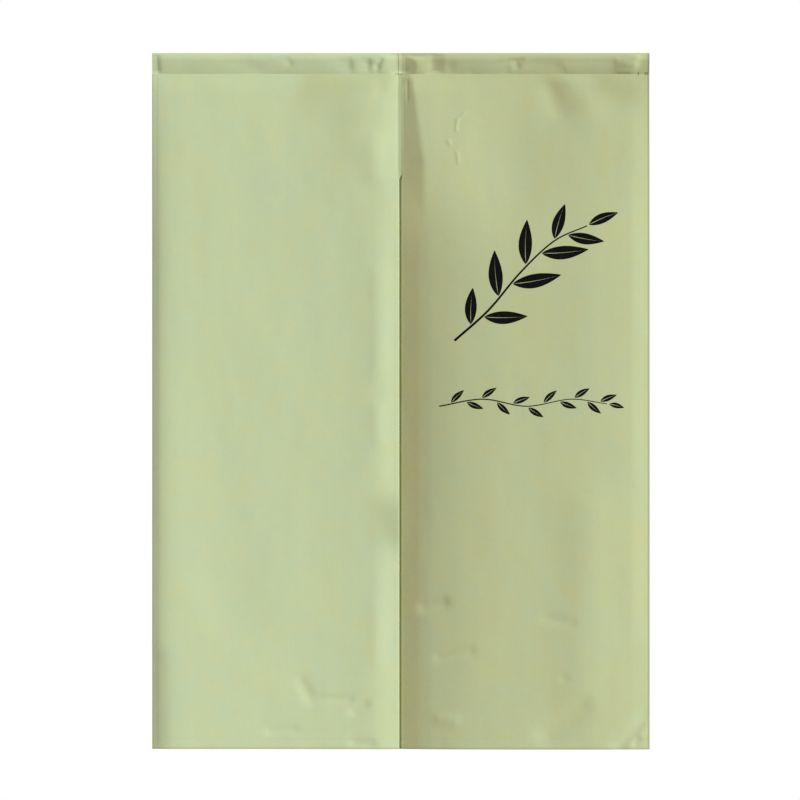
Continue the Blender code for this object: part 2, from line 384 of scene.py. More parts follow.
# The outer edges darken within this width of them, partly from wear and partly as painted
# shade; a painted shadow runs along the lap's edge and painted shade along the pocket's
# top; the last value is the share of its colour that the darkest cloth keeps
WEAR_AND_SHADE_WIDTH = 0.0052
WEAR_AND_SHADE_POWER = 1.5
RIGHT_WEAR_AND_SHADE = 1.0
LEFT_WEAR_AND_SHADE = 0.12
BOTTOM_WEAR_AND_SHADE = 0.45
# Painted shadow along the lap's edge
LAP_SHADOW = 0.55
LAP_SHADOW_WIDTH = 0.0014
# Painted shade along the pocket's top
TOP_SHADE = 0.55
TOP_SHADE_WIDTH = 0.0018
WORN_AND_SHADED_SHARE = (0.48, 0.47, 0.42)

# A row for each patch of painted shade where folds darken the cloth, set out as a fold
# is, with its strength at its middle
LEFT_SHADE_PATCHES = (
    Fold(-0.150, -0.048, -0.050, -0.050, 0.026, 0.95),
    Fold(-0.150, -0.085, -0.060, -0.110, 0.034, 0.50),
    Fold(-0.030, -0.782, -0.015, -0.808, 0.022, 0.45),
)
RIGHT_SHADE_PATCHES = (
    Fold(0.255, -0.050, 0.300, -0.088, 0.020, 0.75),
    Fold(0.350, -0.052, 0.392, -0.070, 0.022, 0.75),
)
FOLD_SHADE_SHARE = (0.92, 0.88, 0.80)

# Painted shade: the right cloth is tinted warmer in the shaded band beside the slit
SLIT_SHADE_START = 0.0045
SLIT_SHADE_START_FADE = 0.0040
SLIT_SHADE_WIDTH = 0.024
SLIT_SHADE_FADE = 0.016
SLIT_SHADE_TOP = 0.130
SLIT_SHADE_RUN = 0.100
SLIT_SHADE_SHARE = (1.06, 0.99, 0.92)

# Camera and light
LENS = 250.0
SENSOR = 36.0
CAMERA_DISTANCE = 9.50
CAMERA_X = -0.0012
CAMERA_Z = -0.5934
SUN_FROM = (0.82, -0.42, 0.39)
SUN_SIZE = math.radians(14)
SUN_STRENGTH = 6.0
SUN_COLOUR = (0.88, 1.0, 1.09)
FILL_FROM = (-0.55, 0.75, 0.36)
FILL_STRENGTH = 2.0
FILL_COLOUR = (0.96, 1.0, 1.04)
AMBIENT_COLOUR = (1.04, 0.72, 0.43)
AMBIENT_STRENGTH = 0.215
FLOOR_Z = -2.2
FLOOR_RADIUS = 2.4
FLOOR_SEGMENTS = 96

# Each panel, its side being 0 at the left and 1 at the right
Panel = namedtuple("Panel", "name node left right stands folds smudges side")
LEFT_PANEL = Panel("left_cloth", "left_panel", -HALF_WIDTH, 0.0, LEFT_STANDS,
                   LEFT_FOLDS + LEFT_CREASES, LEFT_SHADE_PATCHES, side=0.0)
RIGHT_PANEL = Panel("right_cloth", "right_panel", 0.0, HALF_WIDTH, RIGHT_STANDS,
                    RIGHT_FOLDS + RIGHT_CREASES, RIGHT_SHADE_PATCHES, side=1.0)


# Shapes of the hanging cloth

def smooth(share):
    """Ease from 0 to 1 with level ends."""
    share = np.clip(share, 0.0, 1.0)
    return share * share * (3.0 - 2.0 * share)


def curve_through(places, values, at):
    """Read a smooth curve through the values at the rising places."""
    at = np.asarray(at, float)
    places = np.asarray(places, float)
    values = np.array([np.broadcast_to(value, at.shape) for value in values], float)
    last = len(places) - 1
    slopes = np.empty_like(values)
    for i in range(last + 1):
        before, after = max(i - 1, 0), min(i + 1, last)
        slopes[i] = (values[after] - values[before]) / (places[after] - places[before])
    left = np.clip(np.searchsorted(places, at, side="right") - 1, 0, last - 1)
    each = np.arange(at.size).reshape(at.shape)
    span = places[left + 1] - places[left]
    t = np.clip((at - places[left]) / span, 0.0, 1.0)
    low, high = values[left, each], values[left + 1, each]
    start, end = slopes[left, each] * span, slopes[left + 1, each] * span
    bend = (start + end - 2.0 * (high - low)) * t + (3.0 * (high - low) - 2.0 * start - end)
    return low + t * (start + t * bend)


def fold_forward(fold, x, z, stretch=1.0):
    """How far one soft fold, drawn out to its left, moves the front."""
    run_x, run_z = fold.x_end - fold.x_start, fold.z_end - fold.z_start
    along = (x - fold.x_start) * run_x + (z - fold.z_start) * run_z
    along = np.clip(along / (run_x * run_x + run_z * run_z), 0.0, 1.0)
    near_x, near_z = fold.x_start + along * run_x, fold.z_start + along * run_z
    across = np.where(x < near_x, (x - near_x) / stretch, x - near_x)
    away = np.hypot(across, z - near_z) / fold.half_width
    return fold.forward * np.exp(-away * away)


def unevenness(x, z, seed):
    """The small waves that no cloth is without; each seed has its own."""
    rise = np.zeros_like(x)
    for layer, grain in enumerate(GRAINS):
        for i in range(x.size):
            place = Vector((x[i] / grain.across, seed + GRAIN_STEP * layer, z[i] / grain.down))
            rise[i] += grain.height * noise.noise(place)
    return rise


def lap(z):
    """1 where the left cloth laps over the right one, 0 below the seam."""
    return 1.0 - smooth((-z - SEAM_LENGTH + LAP_END) / LAP_END)


def groove(distance, depth=GROOVE_DEPTH):
    """The shallow channel that a row of stitches pulls into the cloth."""
    away = distance / GROOVE_HALF_WIDTH
    return -depth * np.exp(-away * away)


def crease_forward(x, z):
    """How far the cloth beside the seam lies behind the slanting crease."""
    down = np.clip((-z - HEADING_HEIGHT) / (CREASE_FOOT - HEADING_HEIGHT), 0.0, 1.0)
    crease_x = CREASE_TOP_X + (CREASE_FOOT_X - CREASE_TOP_X) * down
    fade = 1.0 - smooth((-z - CREASE_FADE_START) / CREASE_FADE)
    return -CREASE_SLOPE * fade * np.clip(crease_x - x, 0.0, None)


def foot_sway(x):
    """How far the sewn line sways from the middle plane."""
    away = (x - SWAY_X) / SWAY_WIDTH
    return SWAY * np.exp(-away * away)


def panel_forward(panel, x, z):
    """How far a panel's front stands forward of the heading's middle plane."""
    places = [stand.x for stand in panel.stands]
    top = curve_through(places, [stand.top for stand in panel.stands], x)
    upper = curve_through(places, [stand.upper for stand in panel.stands], x)
    lower = curve_through(places, [stand.lower for stand in panel.stands], x)
    levels = (HEADING_HEIGHT, TOP_LEVEL, UPPER_LEVEL, LOWER_LEVEL, HEIGHT)
    foot = FOOT_THICKNESS / 2 + foot_sway(x)
    forward = curve_through(levels, (foot, top, upper, lower, lower), -z)
    released = smooth((-z - HEADING_HEIGHT) / FOLD_RELEASE)
    folded = sum(fold_forward(fold, x, z) for fold in panel.folds)
    if panel is RIGHT_PANEL:
        folded = folded + crease_forward(x, z)
    return forward + (folded + unevenness(x, z, panel.side)) * released


def seam_forward(x, z):
    """The lap of the left cloth and the stitch lines beside it."""
    across = (x - SEAM_STITCHES[0]) / (LAP_EDGE - SEAM_STITCHES[0])
    lines = sum(groove(x - line) for line in SEAM_STITCHES)
    return lap(z) * (LAP_RISE * np.clip(across, 0.0, 1.0) + lines)


def hem_forward(panel, x, z):
    """The stitch channels of a panel's side and bottom hems."""
    lines = groove(x - panel.left - SIDE_STITCH)
    lines += groove(panel.right - x - SIDE_STITCH)
    lines += groove(z + HEIGHT - BOTTOM_STITCH)
    return lines


def edge_distance(panel, x, z):
    """How far a point of a flat panel lies from the nearest free edge."""
    return np.minimum(np.minimum(x - panel.left, panel.right - x), z + HEIGHT)


def rounded_edge(distance):
    """How far each face draws in beside a folded edge."""
    inside = np.clip(distance / EDGE_ROUND, 0.0, 1.0)
    return EDGE_ROUND * (1.0 - np.sqrt(1.0 - (1.0 - inside) ** 2))


def panel_thickness(panel, x, z):
    """One layer of cloth, or the folded hem along the sides and the bottom."""
    from_side = np.minimum(x - panel.left, panel.right - x)
    in_side = 1.0 - smooth((from_side - SIDE_HEM) / HEM_STEP)
    in_bottom = 1.0 - smooth((z + HEIGHT - BOTTOM_HEM) / HEM_STEP)
    return CLOTH + (HEM - CLOTH) * np.maximum(in_side, in_bottom)


def turned_back(hung_x, z):
    """How far the right cloth's edge turns back, beside the left one's edge."""
    sewn = lap(z)
    depth = SLIT_TURN + (SEWN_TURN - SLIT_TURN) * sewn
    start = SLIT_TURN_START + (SEWN_TURN_START - SLIT_TURN_START) * sewn
    return depth * (1.0 - smooth((hung_x - start) / TURN_WIDTH))


def place_panel(panel, x, z):
    """Hang flat points of a panel: their x, and the y of the front and back."""
    drawn_in = rounded_edge(edge_distance(panel, x, z))
    thickness = panel_thickness(panel, x, z)
    if panel is LEFT_PANEL:
        near_seam = np.clip(1.0 - (panel.right - x) / LAP_FADE, 0.0, 1.0)
        hung_x = x + (SLIT_EDGE + (LAP_EDGE - SLIT_EDGE) * lap(z)) * near_seam
        forward = panel_forward(panel, hung_x, z) + seam_forward(hung_x, z)
        drawn_in = drawn_in * (1.0 - (1.0 - LAP_ROUND_SHARE) * lap(z) * near_seam)
    else:
        hung_x = x - SLIP * np.clip(1.0 - x / SLIP_FADE, 0.0, 1.0)
        forward = panel_forward(panel, hung_x, z) - turned_back(hung_x, z)
    forward = forward + hem_forward(panel, x, z)
    return hung_x, -forward + drawn_in, -forward + thickness - drawn_in


def rumple_heading(x, z):
    """How far the rumples and the seam's lap move the pocket's front."""
    sewn_in = smooth((z + HEADING_HEIGHT) / SEWN_CALM)
    rumples = sum(fold_forward(fold, x, z, RUMPLE_STRETCH) for fold in HEADING_RUMPLES)
    rumples = rumples + unevenness(x, z, FRONT_SEED) + tuck_forward(x, z)
    lapped = LAP_STEP * smooth((x - SEAM_STITCHES[0]) / LAP_STEP_WIDTH + 0.5)
    lapped = lapped * (1.0 - smooth(x / LAP_FADE))
    return (rumples + curve_through(SEAM_X, SEAM_MOVES, x)) * sewn_in + lapped


def tuck_forward(x, z):
    """The tuck on the pocket's front, beside the seam."""
    level = np.clip((z - TUCK_Z) / TUCK_HALF_HEIGHT, -1.0, 1.0)
    length = TUCK_LENGTH * np.sqrt(1.0 - level * level)
    beyond = np.clip((x - TUCK_X - length) / TUCK_FALL, 0.0, 1.0)
    return TUCK_SLOPE * np.clip(x - TUCK_X, 0.0, length) * (1.0 - smooth(beyond))


def pocket_side(x, i, shares):
    """One row of a face of the pocket: its share of the bulge, how far it
    sways, how free it is to rumple, and its z."""
    knots = range(len(shares))
    t = np.full_like(x, i * len(POCKET_SIDES) / SIDE_POINTS)
    down = curve_through(knots, [side.down for side in POCKET_SIDES] + [1.0], t)
    out = curve_through(knots, shares, t)
    swayed = foot_sway(x) * smooth((down - SWAY_START) / (1.0 - SWAY_START))
    return out, swayed, smooth(down / TOP_CALM), -down * HEADING_HEIGHT


def pocket_rows(x):
    """The rows of points round the open strip that makes the pocket, at each x."""
    places = [bulge.x for bulge in HEADING_BULGES]
    front = curve_through(places, [bulge.front for bulge in HEADING_BULGES], x)
    back = curve_through(places, [bulge.back for bulge in HEADING_BULGES], x)
    fronts = [side.front for side in POCKET_SIDES] + [FOOT_THICKNESS / 2 / front]
    backs = [side.back for side in POCKET_SIDES] + [BACK_FOOT / back]
    rows = []
    for i in range(SIDE_POINTS, 0, -1):
        out, swayed, free, z = pocket_side(x, i, fronts)
        rows.append((-out * front - rumple_heading(x, z) * free - swayed, z))
    rows.append((np.zeros_like(x), np.zeros_like(x)))
    for i in range(1, SIDE_POINTS + 1):
        out, swayed, free, z = pocket_side(x, i, backs)
        rows.append((out * back + unevenness(x, z, BACK_SEED) * free - swayed, z))
    for y, z in TURNED_UNDER:
        rows.append((y - foot_sway(x), np.full_like(x, z)))
    return rows


# Making the cloth

def even_marks(start, end, pitch):
    """Marks from start to end, about a pitch apart, without the start."""
    steps = max(1, round(abs(end - start) / pitch))
    return [start + (end - start) * i / steps for i in range(1, steps + 1)]


def edge_marks(hem, stitch, pitch=OUTER_PITCH):
    """Distances from a folded edge at which the cloth needs a grid line."""
    marks = list(ROUND_MARKS)
    marks += even_marks(marks[-1], stitch - 2 * GROOVE_HALF_WIDTH, pitch)
    marks += even_marks(marks[-1], stitch + GROOVE_REACH, GROOVE_PITCH)
    marks += [hem, hem + HEM_STEP / 2, hem + HEM_STEP]
    marks += even_marks(marks[-1], hem + EASE_NEAR, min(EASE_PITCH, EASE_GROWTH * pitch))
    marks += even_marks(marks[-1], hem + EASE_FAR, EASE_PITCH)
    return sorted(set(marks))


def panel_marks(start, end, start_marks, end_marks, fine=None):
    """Grid lines from start to end, close together beside hems and fine creases."""
    marks = [start + mark for mark in start_marks]
    far = [end - mark for mark in reversed(end_marks)]
    if fine:
        marks += even_marks(marks[-1], fine[0], CELL)
        marks += even_marks(fine[0], fine[1], FINE_CELL)
    return marks + even_marks(marks[-1], far[0], CELL)[:-1] + far


def finish_mesh(name, shape, material):
    """Turn a bmesh into a smooth object with one material."""
    mesh = bpy.data.meshes.new(name)
    shape.to_mesh(mesh)
    shape.free()
    mesh.shade_smooth()
    mesh.set_sharp_from_angle(angle=SHARP_EDGE)
    mesh.materials.append(material)
    piece = bpy.data.objects.new(name, mesh)
    bpy.context.scene.collection.objects.link(piece)
    return piece


def grid_shape(across, up):
    """A flat unit grid, and the column and row of each of its points."""
    shape = bmesh.new()
    bmesh.ops.create_grid(shape, x_segments=across, y_segments=up, size=0.5)
    columns = [round((vert.co.x + 0.5) * across) for vert in shape.verts]
    rows = [round((vert.co.y + 0.5) * up) for vert in shape.verts]
    return shape, columns, rows


def extrude_copy(shape):
    """Extrude all of a shape, and give the points of the new side."""
    extruded = bmesh.ops.extrude_face_region(shape, geom=shape.faces[:])["geom"]
    return [part for part in extruded if isinstance(part, bmesh.types.BMVert)]


def edge_wear_and_shade(x, z):
    """How much the cloth darkens beside its outer edges, from 0 to 1: partly wear, partly painted
    shade.
    """
    worn = np.zeros_like(x)
    for distance, share in ((HALF_WIDTH - x, RIGHT_WEAR_AND_SHADE), (HALF_WIDTH + x, LEFT_WEAR_AND_SHADE),
                            (HEIGHT + z, BOTTOM_WEAR_AND_SHADE)):
        near = np.clip(1.0 - distance / WEAR_AND_SHADE_WIDTH, 0.0, 1.0)
        worn = np.maximum(worn, share * near ** WEAR_AND_SHADE_POWER)
    return worn


def lap_shadow(x, z):
    """How dark the painted shadow along the lap's edge is, from 0 to 1."""
    return LAP_SHADOW * lap(z) * np.clip(1.0 - np.abs(x) / LAP_SHADOW_WIDTH, 0.0, 1.0)


def slit_shade(panel, x, z):
    """How much the painted warm shade tints the right panel beside the slit, from 0 to 1."""
    tinted = panel.side * (1.0 - smooth((x - SLIT_SHADE_WIDTH) / SLIT_SHADE_FADE))
    tinted = tinted * smooth((x - SLIT_SHADE_START) / SLIT_SHADE_START_FADE)
    return tinted * smooth((-z - SLIT_SHADE_TOP) / SLIT_SHADE_RUN)


def lay_cloth(shape, points, flat, looks):
    """Put a cloth's points in place and give each its place on the flat cloth,
    its looks and its number."""
    place = shape.verts.layers.float_vector.new("cloth place")
    layers = [(shape.verts.layers.float.new(name), values) for name, values in looks.items()]
    number = shape.verts.layers.int.new("number")
    for i, vert in enumerate(shape.verts):
        vert.co = points[i]
        vert[place] = flat[i]
        for layer, values in layers:
            vert[layer] = values[i]
        vert[number] = i
    return number


def make_panel(panel, material):
    """One panel: a grid hung on the folds, extruded back to its thickness."""
    outer = edge_marks(SIDE_HEM, SIDE_STITCH)
    inner = edge_marks(SIDE_HEM, SIDE_STITCH, INNER_PITCH)
    left_marks, right_marks = (outer, inner) if panel is LEFT_PANEL else (inner, outer)
    fine_x, fine_z = (None, None) if panel is LEFT_PANEL else (FINE_X, FINE_Z)
    x_marks = panel_marks(panel.left, panel.right, left_marks, right_marks, fine_x)
    z_marks = panel_marks(-HEIGHT, -HEADING_HEIGHT, edge_marks(BOTTOM_HEM, BOTTOM_STITCH),
                          [0.0], fine_z)
    shape, columns, rows = grid_shape(len(x_marks) - 1, len(z_marks) - 1)
    x = np.array([x_marks[column] for column in columns])
    z = np.array([z_marks[row] for row in rows])
    hung_x, front, back = place_panel(panel, x, z)

    looks = {
        "side": np.full_like(x, panel.side),
        # Darker outer edges, partly wear and partly painted shade, and the painted shadow of the lap's
        # edge
        "toning": np.maximum(edge_wear_and_shade(x, z), lap_shadow(x, z)),
        # Painted warm shade beside the slit
        "slit_shade_tint": slit_shade(panel, x, z),
        # Painted shade in the patches where folds darken the cloth
        "fold_shade": np.minimum(1.0, sum(fold_forward(shade_patch, x, z) for shade_patch in panel.smudges)),
    }
    number = lay_cloth(shape, np.column_stack((hung_x, front, z)),
                       np.column_stack((x, -z, np.zeros_like(x))), looks)
    for vert in extrude_copy(shape):
        vert.co.y = back[vert[number]]
    bmesh.ops.recalc_face_normals(shape, faces=shape.faces[:])
    piece = finish_mesh(panel.name, shape, material)
    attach(piece, "root")
    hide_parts(panel.node)
    return piece


def heading_thickness(x):
    """The pocket's cloth, doubled by the side hems at both ends."""
    in_hem = 1.0 - smooth((HALF_WIDTH - np.abs(x) - SIDE_HEM) / HEM_STEP)
    return CLOTH * (1.0 + in_hem)


def make_heading(material):
    """The rod pocket: an open strip rolled round X, extruded inward."""
    marks = edge_marks(SIDE_HEM, SIDE_STITCH)
    near = [-HALF_WIDTH + mark for mark in marks]
    far = [HALF_WIDTH - mark for mark in reversed(marks)]
    middle = even_marks(near[-1], SEAM_MESH_START, STATION)
    middle += even_marks(SEAM_MESH_START, TUCK_X, SEAM_PITCH)
    middle += even_marks(TUCK_X, TUCK_X + TUCK_LENGTH, TUCK_PITCH)
    x_marks = near + middle + even_marks(middle[-1], far[0], STATION)[:-1] + far
    x = np.array(x_marks)
    path = pocket_rows(x)
    y = np.array([row[0] for row in path])
    z = np.array([row[1] for row in path])
    run = np.concatenate([[np.zeros_like(x)],
                          np.cumsum(np.hypot(np.diff(y, axis=0), np.diff(z, axis=0)), axis=0)])
    along_y, along_z = np.gradient(y, axis=0), np.gradient(z, axis=0)
    length = np.hypot(along_y, along_z)
    inward_y, inward_z = along_z / length, -along_y / length
    thickness = heading_thickness(x)

    shape, columns, rows = grid_shape(len(x_marks) - 1, len(path) - 1)
    across, level = x[columns], z[rows, columns]
    # Painted shade along the pocket's top fold, with the darker outer edges at its ends
    top_shade = TOP_SHADE * np.clip(1.0 + level / TOP_SHADE_WIDTH, 0.0, None)
    looks = {
        "side": (across > LAP_EDGE).astype(float),
        "toning": np.maximum(top_shade, edge_wear_and_shade(across, np.zeros_like(across))),
    }
    down_cloth = HEADING_HEIGHT - run[rows, columns]
    number = lay_cloth(shape, np.column_stack((across, y[rows, columns], level)),
                       np.column_stack((across, down_cloth, np.zeros_like(across))), looks)
    for vert in extrude_copy(shape):
        row, column = rows[vert[number]], columns[vert[number]]
        vert.co.y += inward_y[row, column] * thickness[column]
        vert.co.z += inward_z[row, column] * thickness[column]
    bmesh.ops.recalc_face_normals(shape, faces=shape.faces[:])
    piece = finish_mesh("heading_cloth", shape, material)
    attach(piece, "root")
    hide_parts("heading")
    return piece


# Sewing

def stitch_mesh():
    """One short stitch, along X."""
    shape = bmesh.new()
    bmesh.ops.create_uvsphere(shape, u_segments=STITCH_SIDES, v_segments=STITCH_RINGS, radius=0.5)
    bmesh.ops.rotate(shape, verts=shape.verts[:], matrix=Matrix.Rotation(math.pi / 2, 3, "Y"))
    bmesh.ops.scale(shape, verts=shape.verts[:], vec=(STITCH_LENGTH, STITCH_HEIGHT, STITCH_WIDTH))
    mesh = bpy.data.meshes.new("stitch")
    shape.to_mesh(mesh)
    shape.free()
    return mesh


def stitch_line(surface, start, end):
    """The places of the stitches from start to end, lying on a surface."""
    start, end = np.array(start), np.array(end)
    length = float(np.hypot(*(end - start)))
    count = max(1, int(length / STITCH_PITCH))
    step = (end - start) / count
    middles = start + step * (np.arange(count)[:, None] + 0.5)
    reach = step / np.hypot(*step) * STITCH_LENGTH / 2
    tails = surface(middles[:, 0] - reach[0], middles[:, 1] - reach[1])
    heads = surface(middles[:, 0] + reach[0], middles[:, 1] + reach[1])
    places = []
    for tail, head in zip(tails, heads):
        turn = (head - tail).to_track_quat("X", "Z").to_matrix().to_4x4()
        places.append(Matrix.Translation((tail + head) / 2) @ turn)
    return places


def panel_surface(panel, at_back):
    """A function that lays flat points on a panel's front or back."""
    def surface(x, z):
        hung_x, front, back = place_panel(panel, x, z)
        y = back if at_back else front
        return [Vector(point) for point in zip(hung_x, y, z)]
    return surface


def foot_surface(row):
    """A function that lays points on one row of the rod pocket's section."""
    def surface(x, z):
        y, level = pocket_rows(x)[row]
        return [Vector(point) for point in zip(x, y, level)]
    return surface


def pocket_surface(x, z):
    """Lay points on the front of the rod pocket."""
    rows = pocket_rows(x)[:SIDE_POINTS + 1]
    points = []
    for i, (across, level) in enumerate(zip(x, z)):
        y = np.interp(level, [row[1][i] for row in rows], [row[0][i] for row in rows])
        points.append(Vector((across, y, level)))
    return points


def sew(name, places, material):
    """Join a stitch at each place into one piece."""
    stitch = stitch_mesh()
    shape = bmesh.new()
    for place in places:
        copy = stitch.copy()
        copy.transform(place)
        shape.from_mesh(copy)
        bpy.data.meshes.remove(copy)
    piece = finish_mesh(name, shape, material)
    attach(piece, "root")
    return piece


def sew_panel(panel, name, material):
    """The stitches of a panel's hems, on both faces, and of the seam."""
    places = []
    top, bottom = -HEADING_HEIGHT - HEM_STITCH_INSET, -HEIGHT + BOTTOM_STITCH
    left, right = panel.left + SIDE_STITCH, panel.right - SIDE_STITCH
    seam_end = -SEAM_LENGTH - SEAM_OVERRUN
    for at_back in (False, True):
        surface = panel_surface(panel, at_back)
        left_top = seam_end if panel is RIGHT_PANEL else top
        right_top = seam_end if panel is LEFT_PANEL else top
        places += stitch_line(surface, (left, left_top), (left, bottom))
        places += stitch_line(surface, (right, right_top), (right, bottom))
        places += stitch_line(surface, (panel.left + HEM_STITCH_INSET, bottom),
                              (panel.right - HEM_STITCH_INSET, bottom))
        if panel is LEFT_PANEL:
            for line in SEAM_STITCHES:
                flat = (line - LAP_EDGE) / (1.0 + LAP_EDGE / LAP_FADE)
                places += stitch_line(surface, (flat, top), (flat, seam_end))
    return sew(name, places, material)


def sew_heading(material):
    """The line of stitches that closes the rod pocket, front and back."""
    places = []
    end = HALF_WIDTH - POCKET_STITCH_INSET
    for row in (FRONT_STITCH_ROW, BACK_STITCH_ROW):
        places += stitch_line(foot_surface(row), (-end, 0.0), (end, 0.0))
    return sew("heading_stitches", places, material)


def sew_tacks(material):
    """The bar tacks at the seam's top and beside the right edge."""
    places = []
    for tack in TACKS:
        panel = RIGHT_PANEL if tack.left > 0.0 else LEFT_PANEL
        for z in even_marks(tack.top, tack.bottom, TACK_PITCH):
            on_pocket = z > -HEADING_HEIGHT
            surface = pocket_surface if on_pocket else panel_surface(panel, False)
            right = tack.right if on_pocket else min(tack.right, panel.right)
            places += stitch_line(surface, (tack.left, z), (right, z))
    return sew("tack_stitches", places, material)


# The print: a sprig of leaves and a small twig under it, in one black film

# A row for each leaf: where it leaves its stem as a share of the stem, which
# side it is on, its angle to the stem in degrees, its length and its width
Leaf = namedtuple("Leaf", "share side angle length width")
SPRIG_STEM = ((0.092, -0.492), (0.150, -0.440), (0.205, -0.375), (0.262, -0.322), (0.318, -0.296))
SPRIG_LEAVES = (
    Leaf(share=0.12, side=1, angle=52, length=0.062, width=0.020),
    Leaf(share=0.20, side=-1, angle=48, length=0.074, width=0.022),
    Leaf(share=0.33, side=1, angle=50, length=0.078, width=0.024),
    Leaf(share=0.42, side=-1, angle=46, length=0.084, width=0.024),
    Leaf(share=0.54, side=1, angle=48, length=0.076, width=0.023),
    Leaf(share=0.64, side=-1, angle=44, length=0.080, width=0.023),
    Leaf(share=0.75, side=1, angle=44, length=0.062, width=0.020),
    Leaf(share=0.84, side=-1, angle=40, length=0.062, width=0.019),
    Leaf(share=1.00, side=1, angle=4, length=0.054, width=0.017),
)
TWIG_STEM = ((0.066, -0.604), (0.140, -0.592), (0.215, -0.604), (0.290, -0.592), (0.352, -0.600))
TWIG_SIDE_LEAVES = 11
TWIG_FIRST_LEAF = 0.06
TWIG_LEAF_SPACING = 0.088
TWIG_LEAVES = tuple(
    Leaf(share=TWIG_FIRST_LEAF + TWIG_LEAF_SPACING * i, side=1 - 2 * (i % 2), angle=38,
         length=0.030, width=0.010)
    for i in range(TWIG_SIDE_LEAVES)
) + (Leaf(share=1.0, side=1, angle=0, length=0.026, width=0.009),)

# The width of each stem at its foot and its tip, and the step along it that
# gives its direction
SPRIG_WIDTHS = (0.0042, 0.0020)
TWIG_WIDTHS = (0.0022, 0.0012)
DIRECTION_STEP = 0.01

# A leaf: the gap to its stem, where its belly lies and how full it is, how far
# it bends, and its bare vein, which opens over the first part of its length
LEAF_GAP = 0.004
LEAF_BELLY = 0.85
LEAF_FULLNESS = 0.9
LEAF_BEND = 0.10
VEIN_HALF_WIDTH = 0.0006
VEIN_OPENING = 6.0

# Mesh cells along and across a half leaf and a stem, and the distance within
# which points are joined
LEAF_STEPS = 18
LEAF_ROWS = 3
STEM_STEPS = 60
STEM_ROWS = 2
WELD = 0.00002


def stem_point(stem, share):
    """The place on a stem's smooth curve, and its direction there."""
    knots = range(len(stem))
    ends = np.array([share - DIRECTION_STEP, share, share + DIRECTION_STEP]) * (len(stem) - 1)
    x = curve_through(knots, [point[0] for point in stem], ends)
    z = curve_through(knots, [point[1] for point in stem], ends)
    run = Vector((x[2] - x[0], z[2] - z[0])).normalized()
    return Vector((x[1], z[1])), run


def add_patch(shape, outline, steps, rows):
    """A small grid whose flat points come from outline(along, across)."""
    made = bmesh.ops.create_grid(shape, x_segments=steps, y_segments=rows, size=0.5)["verts"]
    for vert in made:
        x, z = outline(vert.co.x + 0.5, vert.co.y + 0.5)
        vert.co = (x, 0.0, z)
    bmesh.ops.remove_doubles(shape, verts=made, dist=WELD)


def add_leaf(shape, stem, leaf):
    """A leaf in two halves with a bare vein between them."""
    root, run = stem_point(stem, leaf.share)
    turn = Matrix.Rotation(math.radians(leaf.angle * leaf.side), 2)
    main = turn @ run
    cross = Vector((-main.y, main.x))

    def half(sign):
        def outline(along, across):
            swell = 0.0
            if 0.0 < along < 1.0:
                swell = math.sin(math.pi * along ** LEAF_BELLY) ** LEAF_FULLNESS
            vein = VEIN_HALF_WIDTH * (1.0 - along) * min(1.0, along * VEIN_OPENING)
            reach = vein + max(0.0, leaf.width / 2 * swell - vein) * across
            bend = LEAF_BEND * leaf.length * along * along * leaf.side
            return root + main * (LEAF_GAP + along * leaf.length) + cross * (sign * reach - bend)
        return outline

    for sign in (-1, 1):
        add_patch(shape, half(sign), LEAF_STEPS, LEAF_ROWS)


def add_stem(shape, stem, widths):
    """A stem that tapers from its foot to its tip."""
    thick, thin = widths

    def outline(along, across):
        middle, run = stem_point(stem, along)
        half = (thick + (thin - thick) * along) / 2
        return middle + Vector((-run.y, run.x)) * half * (2.0 * across - 1.0)
    add_patch(shape, outline, STEM_STEPS, STEM_ROWS)


def make_print(material):
    """Lay the sprig and the twig on the right panel as a thin closed film."""
    shape = bmesh.new()
    for stem, widths, leaves in ((SPRIG_STEM, SPRIG_WIDTHS, SPRIG_LEAVES),
                                 (TWIG_STEM, TWIG_WIDTHS, TWIG_LEAVES)):
        add_stem(shape, stem, widths)
        for leaf in leaves:
            add_leaf(shape, stem, leaf)
    x = np.array([vert.co.x for vert in shape.verts])
    z = np.array([vert.co.z for vert in shape.verts])
    front = place_panel(RIGHT_PANEL, x, z)[1]
    for vert, y in zip(shape.verts, front):
        vert.co.y = y - PRINT_PROUD
    for vert in extrude_copy(shape):
        vert.co.y += PRINT_FILM
    bmesh.ops.recalc_face_normals(shape, faces=shape.faces[:])
    piece = finish_mesh("print_sprig", shape, material)
    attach(piece, "root")
    return piece


# Materials

def new_material(name, roughness, specular):
    """A material with its shader, and its node tree."""
    material = bpy.data.materials.new(name)
    material.use_nodes = True
    tree = material.node_tree
    shader = tree.nodes["Principled BSDF"]
    shader.inputs["Roughness"].default_value = roughness
    shader.inputs["Specular IOR Level"].default_value = specular
    return material, tree, shader


def math_node(tree, operation, first, second=None):
    """A maths node; its inputs are numbers or other nodes' outputs."""
    node = tree.nodes.new("ShaderNodeMath")
    node.operation = operation
    for slot, value in enumerate((first, second)):
        if value is None:
            continue
        if isinstance(value, (int, float)):
            node.inputs[slot].default_value = value
        else:
            tree.links.new(value, node.inputs[slot])
    return node.outputs[0]


def attribute(tree, name, output):
    """Read a value that the mesh carries at its points."""
    node = tree.nodes.new("ShaderNodeAttribute")
    node.attribute_name = name
    return node.outputs[output]


def noise_node(tree, place, scale, detail, stretch=(1.0, 1.0)):
    """Cloudy noise, which can be stretched across and down the cloth."""
    mapping = tree.nodes.new("ShaderNodeMapping")
    mapping.inputs["Scale"].default_value = (*stretch, 1.0)
    clouds = tree.nodes.new("ShaderNodeTexNoise")
    clouds.inputs["Scale"].default_value = scale
    clouds.inputs["Detail"].default_value = detail
    tree.links.new(place, mapping.inputs["Vector"])
    tree.links.new(mapping.outputs["Vector"], clouds.inputs["Vector"])
    return clouds.outputs["Fac"]


